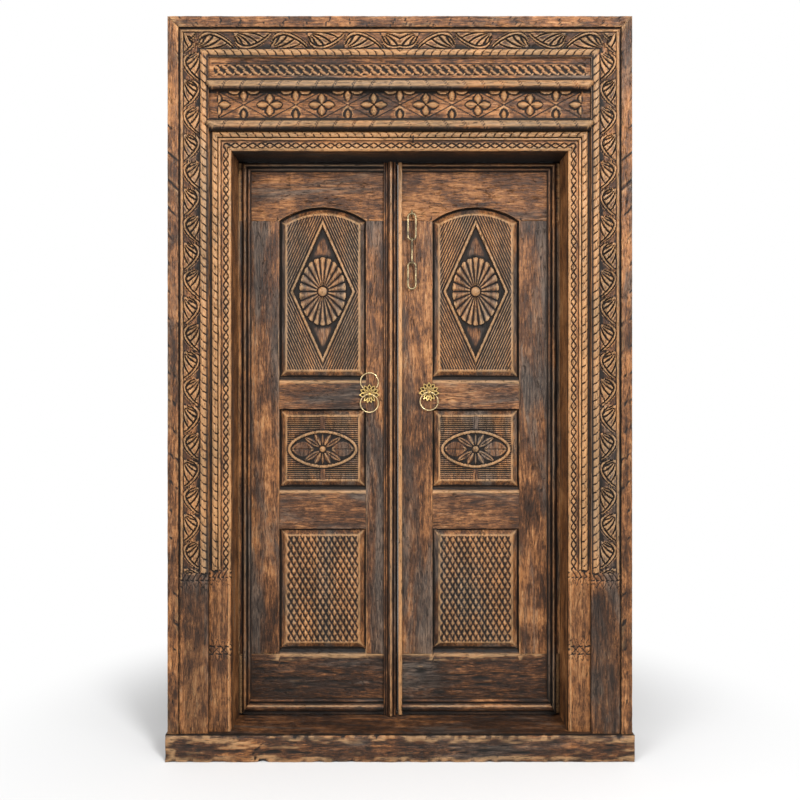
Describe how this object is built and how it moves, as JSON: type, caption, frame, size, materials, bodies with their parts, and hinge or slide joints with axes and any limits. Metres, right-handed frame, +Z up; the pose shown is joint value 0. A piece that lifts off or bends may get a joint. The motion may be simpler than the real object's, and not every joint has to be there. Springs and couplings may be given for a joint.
{
  "type": "carved temple door",
  "caption": "Tall carved wooden double door in its own frame, on a sill, with pull rings on pierced flower plates and a hanging chain hasp.",
  "frame": {"origin": "centre of the sill's underside", "axes": "+X to the right seen from the carved side, +Y from the carved face to the back, +Z up"},
  "size_m": [1.342, 0.2, 2.134],
  "materials": {
    "sill_wood": "worn dark brown, softened edges",
    "board_wood": "dark patina, rubbed edges",
    "carved_wood": "dark carved wood, grime in the hollows, rubbed high spots",
    "inner_wood": "orange-brown carved wood, rubbed",
    "moulding_wood": "worn brown mouldings",
    "leaf_wood": "dark brown with grey-black patina",
    "panel_wood": "carved, dark with lighter ridges",
    "iron": "rusty dark iron",
    "brass": "rubbed yellow brass",
    "aged_brass": "dull aged brass"
  },
  "bodies": {
    "frame": {"threshold": "sill_wood", "left_side_board": "board_wood", "right_side_board": "board_wood", "top_board": "board_wood", "left_outer_jamb": "carved_wood", "right_outer_jamb": "carved_wood", "outer_head": "carved_wood", "upper_lintel": "carved_wood", "upper_lintel_moulding": "moulding_wood", "lower_lintel": "carved_wood", "lower_lintel_moulding": "moulding_wood", "left_inner_jamb": "inner_wood", "right_inner_jamb": "inner_wood", "inner_head": "inner_wood", "pivot_sockets": "iron", "lintel_staple": "iron"},
    "left_leaf": {"left_hinge_stile": "leaf_wood", "left_meeting_stile": "leaf_wood", "left_top_rail": "leaf_wood", "left_upper_rail": "leaf_wood", "left_lower_rail": "leaf_wood", "left_bottom_rail": "leaf_wood", "left_top_panel": "panel_wood", "left_middle_panel": "panel_wood", "left_bottom_panel": "panel_wood", "left_hinge_strip": "moulding_wood", "left_top_strip": "moulding_wood", "left_foot_strip": "moulding_wood", "left_meeting_strip": "moulding_wood", "left_cover_bead": "moulding_wood", "left_pivot_pins": "iron", "left_flower_plate": "brass", "left_ring_stud": "brass", "left_jammed_ring": "brass"},
    "right_leaf": {"right_hinge_stile": "leaf_wood", "right_meeting_stile": "leaf_wood", "right_top_rail": "leaf_wood", "right_upper_rail": "leaf_wood", "right_lower_rail": "leaf_wood", "right_bottom_rail": "leaf_wood", "right_top_panel": "panel_wood", "right_middle_panel": "panel_wood", "right_bottom_panel": "panel_wood", "right_hinge_strip": "moulding_wood", "right_top_strip": "moulding_wood", "right_foot_strip": "moulding_wood", "right_meeting_strip": "moulding_wood", "right_pivot_pins": "iron", "right_flower_plate": "brass", "right_ring_stud": "brass", "chain_staple": "aged_brass"},
    "left_ring": {"left_pull_ring": "brass"},
    "right_ring": {"right_pull_ring": "brass"},
    "chain_top": {"chain_top_link": "aged_brass"},
    "chain_middle": {"chain_middle_link": "aged_brass"},
    "chain_end": {"chain_end_link": "aged_brass"}
  },
  "joints": [
    {"name": "left_leaf_hinge", "type": "hinge", "parent": "frame", "child": "left_leaf", "pos_m": [-0.481, 0.074, 0.076], "axis": [0, 0, 1], "range_deg": [0, 95]},
    {"name": "right_leaf_hinge", "type": "hinge", "parent": "frame", "child": "right_leaf", "pos_m": [0.481, 0.074, 0.076], "axis": [0, 0, -1], "range_deg": [0, 95]},
    {"name": "left_ring_hinge", "type": "hinge", "parent": "left_leaf", "child": "left_ring", "pos_m": [-0.09, 0.0429, 1.04812], "axis": [-1, 0, 0], "range_deg": [0, 100]},
    {"name": "right_ring_hinge", "type": "hinge", "parent": "right_leaf", "child": "right_ring", "pos_m": [0.09, 0.0429, 1.05412], "axis": [-1, 0, 0], "range_deg": [0, 100]},
    {"name": "chain_top_swing", "type": "hinge", "parent": "right_leaf", "child": "chain_top", "pos_m": [0.038, 0.039, 1.59205], "axis": [-1, 0, 0], "range_deg": [0, 100]},
    {"name": "chain_middle_swing", "type": "hinge", "parent": "chain_top", "child": "chain_middle", "pos_m": [0.038, 0.039, 1.51255], "axis": [-1, 0, 0], "range_deg": [0, 60]},
    {"name": "chain_end_swing", "type": "hinge", "parent": "chain_middle", "child": "chain_end", "pos_m": [0.038, 0.039, 1.43895], "axis": [0, -1, 0], "range_deg": [-15, 45]}
  ]
}
